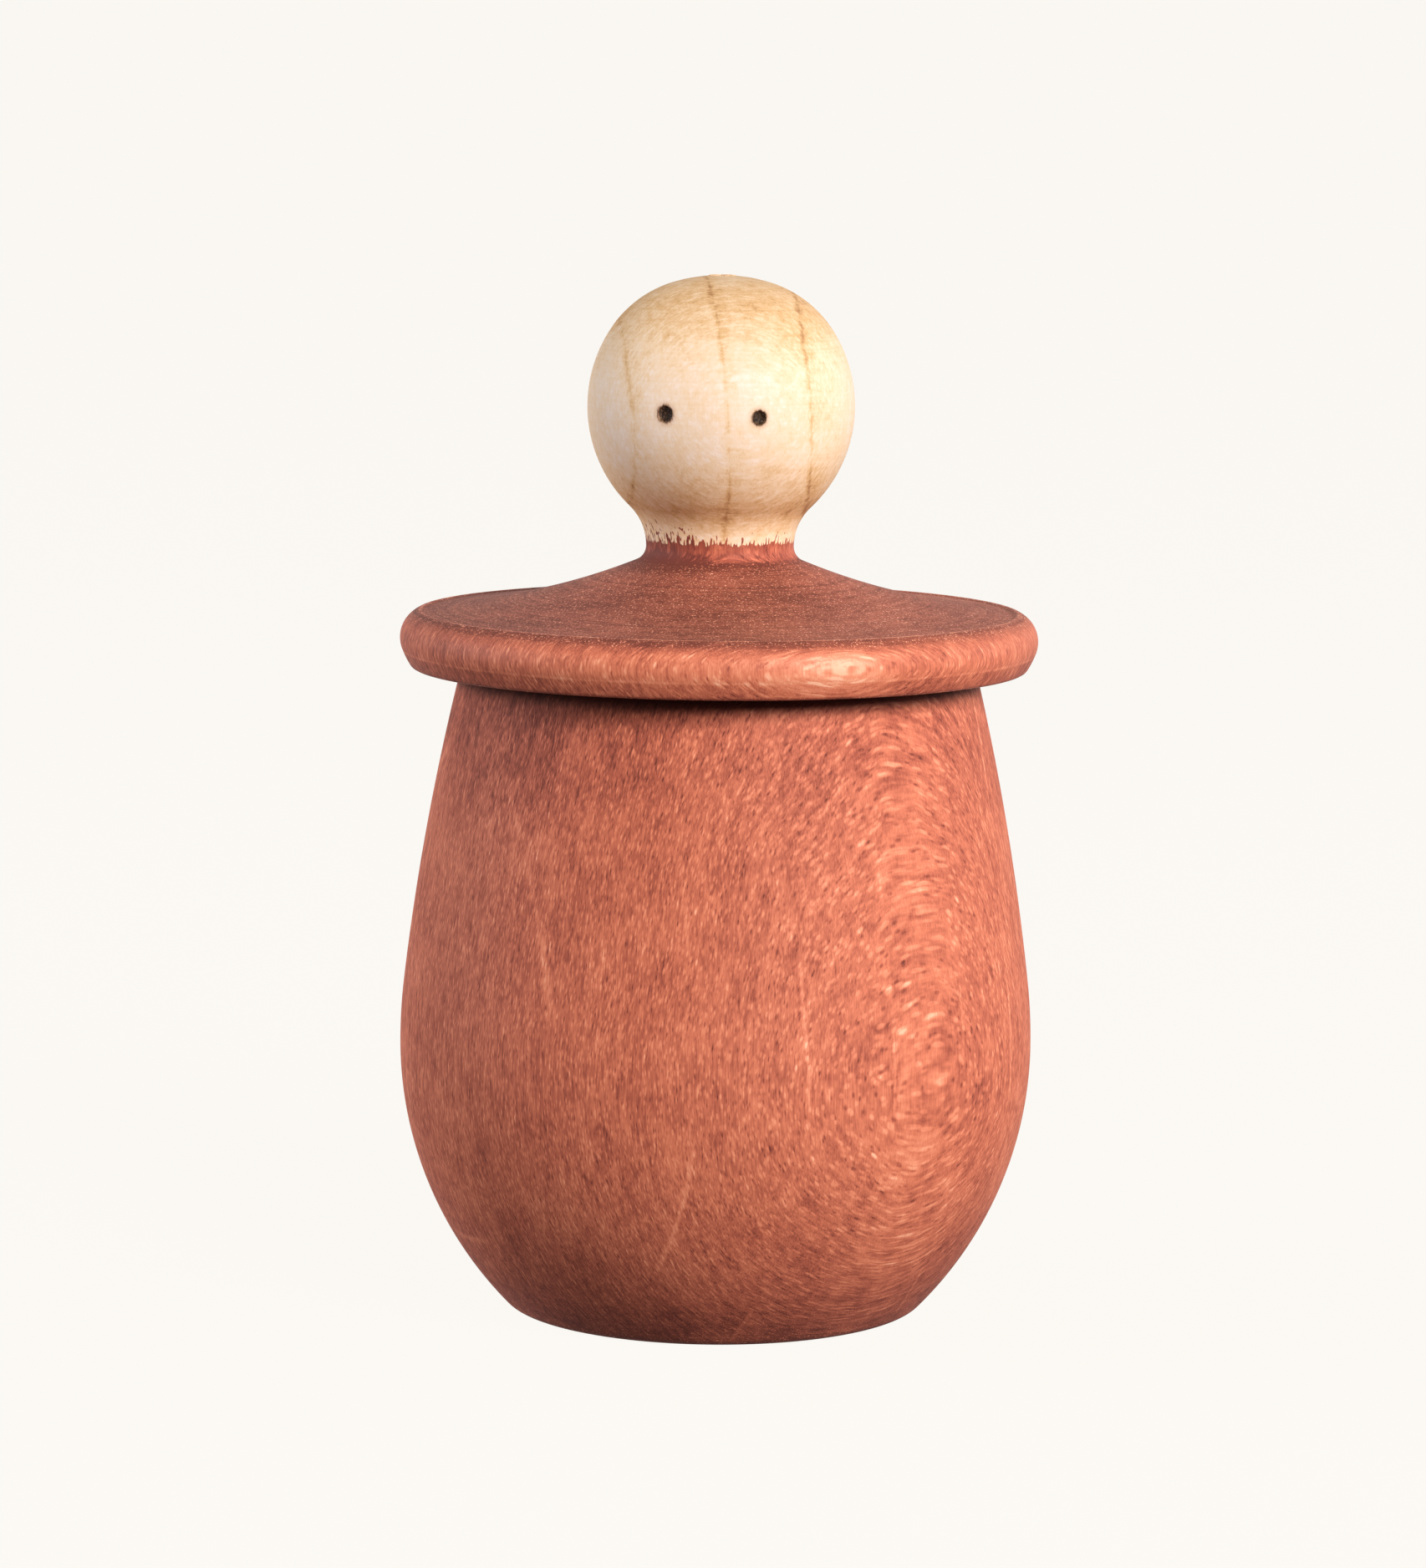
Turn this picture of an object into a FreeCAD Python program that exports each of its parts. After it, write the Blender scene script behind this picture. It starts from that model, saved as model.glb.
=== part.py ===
import FreeCAD, Part
import math
import os
import Sketcher

os.makedirs("parts", exist_ok=True)
doc = FreeCAD.newDocument("PegDollPot")

# Lidded wooden pot, turned on a lathe.  The knob of the lid is a peg doll: a ball head on a
# short neck.  Millimetres, +Z up, origin in the middle of the flat foot, the face looks along -Y.

SIZES = [
    # pot, outside
    ("pot_height", 59.9, "foot to the flat rim that carries the lid"),
    ("belly_radius", 29.4, "widest radius of the pot"),
    ("belly_height", 24.85, "height of the widest place"),
    ("foot_round", 2.1, "rounding between the foot and the wall"),
    ("lower_curve", 35.0, "arc of the wall below the widest place"),
    ("belly_curve", 50.5, "arc of the wall just above the widest place"),
    ("upper_curve", 235.0, "long arc of the wall up to the rim"),
    ("rim_inset", 5.6, "outside of the rim, in from the widest place"),
    ("rim_outer_round", 2.0, "softened outer edge of the rim"),
    # pot, inside
    ("rim_wall", 4.6, "wood between the cavity and the outside at the rim"),
    ("floor_thickness", 10.0, "wood below the cavity"),
    ("cavity_corner", 8.0, "rounding between the cavity wall and its floor"),
    ("rim_inner_round", 0.7, "softened inner edge of the rim"),
    # lid, the part in the mouth of the pot
    ("spigot_clearance", 0.6, "gap all round between spigot and cavity"),
    ("spigot_length", 5.0, "how far the spigot reaches into the pot"),
    ("spigot_bevel", 0.8, "bevel at the lower edge of the spigot"),
    # lid, rim: heights are above the rim of the pot, insets are from the lid's own edge
    ("lid_overhang", 5.7, "how far the lid reaches past the outside of the rim"),
    ("band_inset", 1.05, "where the flat underside turns into the lower band"),
    ("band_rise", 1.5, "top of the lower band"),
    ("band_curve", 8, "arc of the lower band"),
    ("edge_rise", 2.65, "height of the lid's widest place"),
    ("edge_round", 2.72, "arc of the rounded edge"),
    ("crease_inset", 1.85, "crease between the rounded edge and the top"),
    ("dish_inset", 2.35, "lowest ring of the top, just inside the crease"),
    ("dish_rise", 5.05, "height of that lowest ring"),
    # lid, knob
    ("shoulder_curve", 66.0, "hollow sweep from the rim to the neck"),
    ("neck_fillet", 1.5, "tight hollow at the root of the neck"),
    ("neck_radius", 6.82, "thinnest place of the neck"),
    ("neck_rise", 11.21, "height of that thinnest place"),
    ("cove_curve", 5.06, "hollow between the neck and the head"),
    ("head_radius", 12.32, "widest radius of the head"),
    ("head_share", 1.039, "main arc of the head, per head radius"),
    ("temple_share", 0.852, "arc between the main arc and the crown, per head radius"),
    ("crown_share", 1.274, "arc of the crown, per head radius"),
    ("crown_lift", 0.974, "crown above the head's widest place, per head radius"),
    ("stub_radius", 1.1, "rough spot where the piece was cut off the lathe"),
    ("stub_rise", 0.1, "how far that spot stands out of the crown"),
    # lid, burnt eyes
    ("eye_angle", 20.2, "each eye, round from the middle of the face"),
    ("eye_drop", 0.2, "eyes below the head's widest place"),
    ("eye_width", 1.5, "width of an eye"),
    ("eye_height", 1.75, "height of an eye"),
    ("eye_depth", 0.45, "depth of the pit"),
]

sheet = doc.addObject("Spreadsheet::Sheet", "Sizes")
for row, (name, number, note) in enumerate(SIZES, start=1):
    sheet.set(f"A{row}", note)
    sheet.set(f"B{row}", str(number))
    sheet.setAlias(f"B{row}", name)
doc.recompute()


class Sizes:
    """Numbers of the sheet by name, for the first drawing of each sketch."""

    def __getattr__(self, name):
        return float(sheet.get(name))


d = Sizes()


def point(x, y):
    return FreeCAD.Vector(x, y, 0)


def crossing(centre_a, radius_a, centre_b, radius_b, side):
    """Where two circles cross, on the left (+1) or right (-1) of the line from a to b."""
    line = centre_b - centre_a
    span = line.Length
    along = (span ** 2 + radius_a ** 2 - radius_b ** 2) / (2 * span)
    off = math.sqrt(radius_a ** 2 - along ** 2)
    line.normalize()
    return centre_a + line * along + point(-line.y, line.x) * (off * side)


def bearing(centre, place):
    """Direction from a centre to a place, as an angle from 0 to a full turn."""
    return math.atan2(place.y - centre.y, place.x - centre.x) % (2 * math.pi)


class Outline:
    """Closed half section in the XZ plane, drawn end to end and then held by constraints."""

    def __init__(self, body, name):
        self.sketch = body.newObject("Sketcher::SketchObject", name)
        plane = [f for f in body.Origin.OriginFeatures if f.Role == "XZ_Plane"][0]
        self.sketch.AttachmentSupport = [(plane, "")]
        self.sketch.MapMode = "FlatFace"
        self.ends = []

    def line(self, start, end):
        self.sketch.addGeometry(Part.LineSegment(start, end), False)
        self.ends.append((1, 2))
        return len(self.ends) - 1

    def arc(self, centre, start, end, hollow=False):
        """Arc round a centre; a hollow one runs clockwise."""
        radius = (start - centre).Length
        first, last = (end, start) if hollow else (start, end)
        a = bearing(centre, first)
        b = bearing(centre, last)
        if b <= a:
            b += 2 * math.pi
        circle = Part.Circle(centre, FreeCAD.Vector(0, 0, 1), radius)
        self.sketch.addGeometry(Part.ArcOfCircle(circle, a, b), False)
        self.ends.append((2, 1) if hollow else (1, 2))
        return len(self.ends) - 1

    def hold(self, *terms):
        return self.sketch.addConstraint(Sketcher.Constraint(*terms))

    def bind(self, name, formula, *terms):
        """Constraint with a value that follows the sheet."""
        index = self.hold(*terms)
        self.sketch.renameConstraint(index, name)
        self.sketch.setExpression(f"Constraints.{name}", formula)

    def join(self, first, second, smooth=False):
        kind = "Tangent" if smooth else "Coincident"
        self.hold(kind, first, self.ends[first][1], second, self.ends[second][0])

    def at_x(self, name, formula, edge, spot):
        self.bind(name, formula, "DistanceX", -1, 1, edge, spot, self.place(edge, spot).x)

    def at_y(self, name, formula, edge, spot):
        self.bind(name, formula, "DistanceY", -1, 1, edge, spot, self.place(edge, spot).y)

    def radius(self, name, formula, edge):
        self.bind(name, formula, "Radius", edge, self.sketch.Geometry[edge].Radius)

    def place(self, edge, spot):
        shape = self.sketch.Geometry[edge]
        if spot == 3:
            return shape.Center
        return shape.StartPoint if spot == 1 else shape.EndPoint

    def end(self, edge):
        return self.ends[edge][1]


def new_body(label):
    body = doc.addObject("PartDesign::Body", label)
    body.Label = label
    doc.recompute()
    return body


def turn(body, kind, name, outline):
    """Sweep an outline once round the vertical axis, adding or cutting wood."""
    doc.recompute()
    sweep = body.newObject(kind, name)
    sweep.Profile = outline.sketch
    sweep.ReferenceAxis = (outline.sketch, ["V_Axis"])
    sweep.Angle = 360
    doc.recompute()
    return sweep


def soften(body, name, formula, height, radius):
    """Round over the circular edge at this height and radius."""
    base = body.Tip
    edges = []
    for index, edge in enumerate(base.Shape.Edges, start=1):
        curve = edge.Curve
        if not isinstance(curve, Part.Circle):
            continue
        if abs(curve.Center.z - height) < 1e-4 and abs(curve.Radius - radius) < 1e-4:
            edges.append(f"Edge{index}")
    fillet = body.newObject("PartDesign::Fillet", name)
    fillet.Base = (base, edges)
    fillet.setExpression("Radius", formula)
    doc.recompute()


# ---- pot: solid outside shape ----
pot = new_body("pot")
rim_radius = d.belly_radius - d.rim_inset
cavity_radius = rim_radius - d.rim_wall
RIM = "Sizes.belly_radius - Sizes.rim_inset"
CAVITY = f"{RIM} - Sizes.rim_wall"

origin = point(0, 0)
lower_centre = point(d.belly_radius - d.lower_curve, d.belly_height)
belly_centre = point(d.belly_radius - d.belly_curve, d.belly_height)
widest = point(d.belly_radius, d.belly_height)
reach = d.lower_curve - d.foot_round
foot_x = lower_centre.x + math.sqrt(reach ** 2 - (d.belly_height - d.foot_round) ** 2)
foot_centre = point(foot_x, d.foot_round)
foot_out = (foot_centre - lower_centre).normalize()
wall_start = foot_centre + foot_out * d.foot_round
rim_out = point(rim_radius, d.pot_height)
upper_centre = crossing(belly_centre, d.upper_curve - d.belly_curve, rim_out, d.upper_curve, 1)
upper_out = (belly_centre - upper_centre).normalize()
upper_start = belly_centre + upper_out * d.belly_curve

outside = Outline(pot, "pot_outside")
foot = outside.line(origin, point(foot_x, 0))
corner = outside.arc(foot_centre, point(foot_x, 0), wall_start)
lower = outside.arc(lower_centre, wall_start, widest)
belly = outside.arc(belly_centre, widest, upper_start)
upper = outside.arc(upper_centre, upper_start, rim_out)
rim = outside.line(rim_out, point(0, d.pot_height))
axis = outside.line(point(0, d.pot_height), origin)
outside.hold("Coincident", foot, 1, -1, 1)
outside.hold("Horizontal", foot)
outside.join(foot, corner, smooth=True)
outside.join(corner, lower, smooth=True)
outside.join(lower, belly, smooth=True)
outside.join(belly, upper, smooth=True)
outside.join(upper, rim)
outside.join(rim, axis)
outside.join(axis, foot)
outside.hold("Horizontal", rim)
outside.hold("Vertical", axis)
outside.radius("foot_round", "Sizes.foot_round", corner)
outside.radius("lower_curve", "Sizes.lower_curve", lower)
outside.radius("belly_curve", "Sizes.belly_curve", belly)
outside.radius("upper_curve", "Sizes.upper_curve", upper)
outside.at_x("belly_radius", "Sizes.belly_radius", lower, 2)
outside.at_y("belly_height", "Sizes.belly_height", lower, 2)
outside.hold("Horizontal", lower, 3, lower, 2)
outside.at_x("rim_radius", RIM, upper, 2)
outside.at_y("pot_height", "Sizes.pot_height", upper, 2)
turn(pot, "PartDesign::Revolution", "pot_turned", outside)
solid_volume = pot.Shape.Volume

# ---- pot: cavity ----
cavity = Outline(pot, "pot_cavity")
corner_centre = point(cavity_radius - d.cavity_corner, d.floor_thickness + d.cavity_corner)
bottom = cavity.line(point(0, d.floor_thickness), point(corner_centre.x, d.floor_thickness))
bend = cavity.arc(
    corner_centre,
    point(corner_centre.x, d.floor_thickness),
    point(cavity_radius, corner_centre.y),
)
side = cavity.line(point(cavity_radius, corner_centre.y), point(cavity_radius, d.pot_height))
mouth = cavity.line(point(cavity_radius, d.pot_height), point(0, d.pot_height))
middle = cavity.line(point(0, d.pot_height), point(0, d.floor_thickness))
cavity.join(bottom, bend, smooth=True)
cavity.join(bend, side, smooth=True)
cavity.join(side, mouth)
cavity.join(mouth, middle)
cavity.join(middle, bottom)
cavity.hold("Horizontal", bottom)
cavity.hold("Vertical", side)
cavity.hold("Horizontal", mouth)
cavity.hold("PointOnObject", bottom, 1, -2)
cavity.hold("PointOnObject", mouth, 2, -2)
cavity.radius("cavity_corner", "Sizes.cavity_corner", bend)
cavity.at_x("cavity_radius", CAVITY, side, 2)
cavity.at_y("cavity_top", "Sizes.pot_height", side, 2)
cavity.at_y("cavity_floor", "Sizes.floor_thickness", bottom, 1)
turn(pot, "PartDesign::Groove", "pot_hollowed", cavity)
hollow_volume = pot.Shape.Volume

soften(pot, "rim_outer_edge", "Sizes.rim_outer_round", d.pot_height, rim_radius)
soften(pot, "rim_inner_edge", "Sizes.rim_inner_round", d.pot_height, cavity_radius)

# ---- lid: rim, shoulder, neck and head in one outline ----
lid = new_body("lid")
base = d.pot_height
spigot_radius = cavity_radius - d.spigot_clearance
lid_radius = rim_radius + d.lid_overhang
head_curve = d.head_radius * d.head_share
temple_curve = d.head_radius * d.temple_share
crown_curve = d.head_radius * d.crown_share
SPIGOT = f"{CAVITY} - Sizes.spigot_clearance"
LID = f"{RIM} + Sizes.lid_overhang"
HEAD_CURVE = "Sizes.head_radius * Sizes.head_share"
TEMPLE_CURVE = "Sizes.head_radius * Sizes.temple_share"
CROWN_CURVE = "Sizes.head_radius * Sizes.crown_share"

spigot_low = base - d.spigot_length
band_start = point(lid_radius - d.band_inset, base)
edge_centre = point(lid_radius - d.edge_round, base + d.edge_rise)
band_y = base + d.band_rise
band_x = edge_centre.x + math.sqrt(d.edge_round ** 2 - (band_y - edge_centre.y) ** 2)
band_end = point(band_x, band_y)
band_centre = crossing(band_start, d.band_curve, band_end, d.band_curve, 1)
crease_x = lid_radius - d.crease_inset
crease_up = math.sqrt(d.edge_round ** 2 - (crease_x - edge_centre.x) ** 2)
crease = point(crease_x, edge_centre.y + crease_up)
dish = point(lid_radius - d.dish_inset, base + d.dish_rise)

neck = point(d.neck_radius, base + d.neck_rise)
cove_centre = point(d.neck_radius + d.cove_curve, neck.y)
cove_reach = head_curve + d.cove_curve
head_x = d.head_radius - head_curve
head_y = neck.y + math.sqrt(cove_reach ** 2 - (cove_centre.x - head_x) ** 2)
head_centre = point(head_x, head_y)
head_down = (cove_centre - head_centre).normalize()
head_start = head_centre + head_down * head_curve
crown_y = head_y + d.head_radius * d.crown_lift
crown_centre = point(0, crown_y - crown_curve)
temple_centre = crossing(
    crown_centre, crown_curve - temple_curve, head_centre, head_curve - temple_curve, -1
)
crown_out = (temple_centre - crown_centre).normalize()
crown_start = crown_centre + crown_out * crown_curve
temple_out = (temple_centre - head_centre).normalize()
temple_start = head_centre + temple_out * head_curve
fillet_centre = point(d.neck_radius + d.neck_fillet, neck.y)
shoulder_centre = crossing(
    fillet_centre, d.shoulder_curve - d.neck_fillet, dish, d.shoulder_curve, 1
)
fillet_out = (fillet_centre - shoulder_centre).normalize()
shoulder_end = fillet_centre + fillet_out * d.neck_fillet
stub_y = crown_centre.y + math.sqrt(crown_curve ** 2 - d.stub_radius ** 2)
stub_top = crown_y + d.stub_rise

form = Outline(lid, "lid_outline")
under = form.line(point(0, spigot_low), point(spigot_radius - d.spigot_bevel, spigot_low))
bevel = form.line(
    point(spigot_radius - d.spigot_bevel, spigot_low),
    point(spigot_radius, spigot_low + d.spigot_bevel),
)
spigot = form.line(point(spigot_radius, spigot_low + d.spigot_bevel), point(spigot_radius, base))
seat = form.line(point(spigot_radius, base), band_start)
band = form.arc(band_centre, band_start, band_end)
edge = form.arc(edge_centre, band_end, crease)
lip = form.line(crease, dish)
shoulder = form.arc(shoulder_centre, dish, shoulder_end, hollow=True)
root = form.arc(fillet_centre, shoulder_end, neck, hollow=True)
cove = form.arc(cove_centre, neck, head_start, hollow=True)
head = form.arc(head_centre, head_start, temple_start)
temple = form.arc(temple_centre, temple_start, crown_start)
crown = form.arc(crown_centre, crown_start, point(d.stub_radius, stub_y))
stub = form.line(point(d.stub_radius, stub_y), point(d.stub_radius, stub_top))
tip = form.line(point(d.stub_radius, stub_top), point(0, stub_top))
core = form.line(point(0, stub_top), point(0, spigot_low))

form.join(under, bevel)
form.join(bevel, spigot)
form.join(spigot, seat)
form.join(seat, band)
form.join(band, edge)
form.join(edge, lip)
form.join(lip, shoulder)
form.join(shoulder, root, smooth=True)
form.join(root, cove, smooth=True)
form.join(cove, head, smooth=True)
form.join(head, temple, smooth=True)
form.join(temple, crown, smooth=True)
form.join(crown, stub)
form.join(stub, tip)
form.join(tip, core)
form.join(core, under)
form.hold("Horizontal", under)
form.hold("Vertical", spigot)
form.hold("Horizontal", seat)
form.hold("Vertical", stub)
form.hold("Horizontal", tip)
form.hold("PointOnObject", under, 1, -2)
form.hold("PointOnObject", tip, 2, -2)
form.hold("PointOnObject", crown, 3, -2)
form.hold("Horizontal", root, 3, root, form.end(root))

form.at_x("spigot_radius", SPIGOT, spigot, 2)
form.at_x("bevel_radius", f"{SPIGOT} - Sizes.spigot_bevel", bevel, 1)
form.at_y("spigot_end", "Sizes.pot_height - Sizes.spigot_length", bevel, 1)
form.at_y(
    "bevel_top", "Sizes.pot_height - Sizes.spigot_length + Sizes.spigot_bevel", bevel, 2
)
form.at_y("seat_height", "Sizes.pot_height", spigot, 2)
form.at_x("band_radius", f"{LID} - Sizes.band_inset", seat, 2)
form.radius("band_curve", "Sizes.band_curve", band)
form.at_y("band_top", "Sizes.pot_height + Sizes.band_rise", band, 2)
form.radius("edge_round", "Sizes.edge_round", edge)
form.at_x("edge_middle", f"{LID} - Sizes.edge_round", edge, 3)
form.at_y("edge_height", "Sizes.pot_height + Sizes.edge_rise", edge, 3)
form.at_x("crease_radius", f"{LID} - Sizes.crease_inset", edge, 2)
form.at_x("dish_radius", f"{LID} - Sizes.dish_inset", lip, 2)
form.at_y("dish_height", "Sizes.pot_height + Sizes.dish_rise", lip, 2)
form.radius("shoulder_curve", "Sizes.shoulder_curve", shoulder)
form.radius("neck_fillet", "Sizes.neck_fillet", root)
form.at_x("neck_radius", "Sizes.neck_radius", root, form.end(root))
form.at_y("neck_height", "Sizes.pot_height + Sizes.neck_rise", root, 3)
form.radius("cove_curve", "Sizes.cove_curve", cove)
form.radius("head_curve", HEAD_CURVE, head)
form.bind(
    "head_set_back",
    f"{HEAD_CURVE} - Sizes.head_radius",
    "DistanceX", head, 3, -1, 1, -head_x,
)
form.radius("temple_curve", TEMPLE_CURVE, temple)
form.radius("crown_curve", CROWN_CURVE, crown)
form.bind(
    "crown_drop",
    f"{CROWN_CURVE} - Sizes.head_radius * Sizes.crown_lift",
    "DistanceY", crown, 3, head, 3, head_y - crown_centre.y,
)
form.at_x("stub_radius", "Sizes.stub_radius", crown, 2)
form.bind(
    "stub_height",
    f"{CROWN_CURVE} + Sizes.stub_rise",
    "DistanceY", crown, 3, tip, 2, stub_top - crown_centre.y,
)
turn(lid, "PartDesign::Revolution", "lid_turned", form)
plain_volume = lid.Shape.Volume


# ---- lid: the two burnt pits of the eyes, each an upright oval sunk into the head ----
COVE_REACH = f"({HEAD_CURVE} + Sizes.cove_curve)"
COVE_OUT = f"(Sizes.neck_radius + Sizes.cove_curve + {HEAD_CURVE} - Sizes.head_radius)"
HEAD_HEIGHT = f"Sizes.pot_height + Sizes.neck_rise + sqrt({COVE_REACH}^2 - {COVE_OUT}^2)"


def eye(name, side):
    pit = lid.newObject("PartDesign::SubtractiveEllipsoid", name)
    pit.MapMode = "Deactivated"
    pit.Angle1 = -90
    pit.Angle2 = 90
    pit.Angle3 = 360
    pit.setExpression("Radius1", "Sizes.eye_height / 2")
    pit.setExpression("Radius2", "Sizes.eye_width / 2")
    pit.setExpression("Radius3", "Sizes.eye_depth")
    turned = f"{side} * Sizes.eye_angle"
    pit.Placement = FreeCAD.Placement(
        FreeCAD.Vector(0, 0, 0), FreeCAD.Rotation(FreeCAD.Vector(0, 0, 1), side * d.eye_angle)
    )
    pit.setExpression("Placement.Rotation.Angle", f"{turned} * 1 deg")
    pit.setExpression("Placement.Base.x", f"Sizes.head_radius * sin({turned} * 1 deg)")
    pit.setExpression("Placement.Base.y", f"-Sizes.head_radius * cos({turned} * 1 deg)")
    pit.setExpression("Placement.Base.z", f"{HEAD_HEIGHT} - Sizes.eye_drop")
    doc.recompute()


eye("eye_plus_x", 1)
eye("eye_minus_x", -1)

# ---- checks ----
doc.recompute()
for item in doc.Objects:
    if "Invalid" in item.State or "Error" in item.State:
        raise RuntimeError(f"{item.Name} did not build: {item.State}")
for outline in (outside, cavity, form):
    if outline.sketch.solve() != 0 or not outline.sketch.FullyConstrained:
        raise RuntimeError(f"{outline.sketch.Name} is not fully held")
if not hollow_volume < solid_volume * 0.8:
    raise RuntimeError("the cavity did not cut")
if not plain_volume - 3 < lid.Shape.Volume < plain_volume - 0.3:
    raise RuntimeError("the eyes did not cut as expected")

for body in (pot, lid):
    shape = body.Shape
    if shape.isNull() or not shape.isValid() or len(shape.Solids) != 1:
        raise RuntimeError(f"{body.Label} is not one valid solid")
    shape.exportStep(f"parts/{body.Label}.step")
    box = shape.BoundBox
    print(body.Label, round(shape.Volume, 1), "mm3", [round(v, 3) for v in (
        box.XMin, box.YMin, box.ZMin, box.XMax, box.YMax, box.ZMax)])
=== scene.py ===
import math

import bpy
from mathutils import Matrix, Vector


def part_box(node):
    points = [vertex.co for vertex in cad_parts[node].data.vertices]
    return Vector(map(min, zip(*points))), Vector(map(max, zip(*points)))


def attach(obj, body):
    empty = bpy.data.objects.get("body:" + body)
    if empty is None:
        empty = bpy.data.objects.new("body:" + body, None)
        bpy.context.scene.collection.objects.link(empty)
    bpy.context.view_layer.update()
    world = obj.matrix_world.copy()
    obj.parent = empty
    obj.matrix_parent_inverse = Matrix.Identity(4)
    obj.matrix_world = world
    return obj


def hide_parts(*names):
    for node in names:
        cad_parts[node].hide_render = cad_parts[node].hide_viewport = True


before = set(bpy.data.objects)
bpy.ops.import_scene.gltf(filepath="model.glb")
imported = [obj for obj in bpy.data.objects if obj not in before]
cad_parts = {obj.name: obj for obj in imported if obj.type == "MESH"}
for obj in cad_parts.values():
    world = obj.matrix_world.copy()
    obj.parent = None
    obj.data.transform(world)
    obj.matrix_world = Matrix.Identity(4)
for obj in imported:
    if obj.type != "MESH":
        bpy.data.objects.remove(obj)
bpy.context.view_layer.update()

# Lidded pot turned from pale close-grained wood, with a peg doll for a knob.  The pot and the lid
# are stained brick red with a thin water stain; the neck and the head are left bare.
MM = 0.001

# ---- sizes in millimetres; outer ones come from the frame, the rest shape the same turnings ----
POT_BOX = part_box("pot")
LID_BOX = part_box("lid")
POT_HEIGHT = round(POT_BOX[1].z / MM, 1)
BELLY_RADIUS = round(POT_BOX[1].x / MM, 1)
BELLY_HEIGHT = 24.85
FOOT_ROUND = 2.1
LOWER_CURVE = 35.0
BELLY_CURVE = 50.5
UPPER_CURVE = 235.0
RIM_RADIUS = 23.8
RIM_OUTER_ROUND = 2.0
RIM_INNER_ROUND = 0.7
CAVITY_RADIUS = 19.2
CAVITY_CORNER = 8.0
FLOOR_THICKNESS = 10.0

SPIGOT_RADIUS = 18.6
SPIGOT_LENGTH = round(POT_HEIGHT - LID_BOX[0].z / MM, 1)
SPIGOT_BEVEL = 0.8
LID_RADIUS = round(LID_BOX[1].x / MM, 1)
BAND_RADIUS = 28.45
BAND_TOP = POT_HEIGHT + 1.5
BAND_CURVE = 8.0
EDGE_HEIGHT = POT_HEIGHT + 2.65
EDGE_ROUND = 2.72
CREASE_RADIUS = 27.65
DISH_RADIUS = 27.15
DISH_HEIGHT = POT_HEIGHT + 5.05
SHOULDER_CURVE = 66.0
NECK_FILLET = 1.5
NECK_RADIUS = 6.82
NECK_HEIGHT = POT_HEIGHT + 11.21
COVE_CURVE = 5.06
HEAD_RADIUS = 12.32
HEAD_CURVE = HEAD_RADIUS * 1.039
TEMPLE_CURVE = HEAD_RADIUS * 0.852
CROWN_CURVE = HEAD_RADIUS * 1.274
CROWN_LIFT = HEAD_RADIUS * 0.974
STUB_RADIUS = 1.1
STUB_INSET = 0.08
STUB_SUNK = 0.05
STUB_ROUGHNESS = 0.03

EYE_ANGLE = 20.2
EYE_DEPTH = 0.45
EYE_RAGGED = 0.22
EYES = (
    # side, drop below the widest place of the head, width, height
    (-1, 0.1, 1.46, 1.52),
    (1, 0.35, 1.30, 1.36),
)

SANDED_BAND = 0.22
SANDED_CREASE = 0.16
SANDED_SPIGOT = 0.2

# ---- fineness of the meshes ----
ROUND_STEPS = 256
ARC_STEP = 0.45
ARC_TURN = 0.13
SAME_POINT = 0.004
SAME_RING = 0.01
SMOOTH_ANGLE = 34


# ---- modelling at the lathe ----
def clear_selection():
    if bpy.context.mode != "OBJECT":
        bpy.ops.object.mode_set(mode="OBJECT")
    bpy.ops.object.select_all(action="DESELECT")


def crossing(centre_a, radius_a, centre_b, radius_b, side):
    """Where two circles cross, on the left (+1) or right (-1) of the line from a to b."""
    line = centre_b - centre_a
    span = line.length
    along = (span ** 2 + radius_a ** 2 - radius_b ** 2) / (2 * span)
    off = math.sqrt(radius_a ** 2 - along ** 2)
    line.normalize()
    return centre_a + line * along + Vector((-line.y, line.x)) * (off * side)


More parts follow.
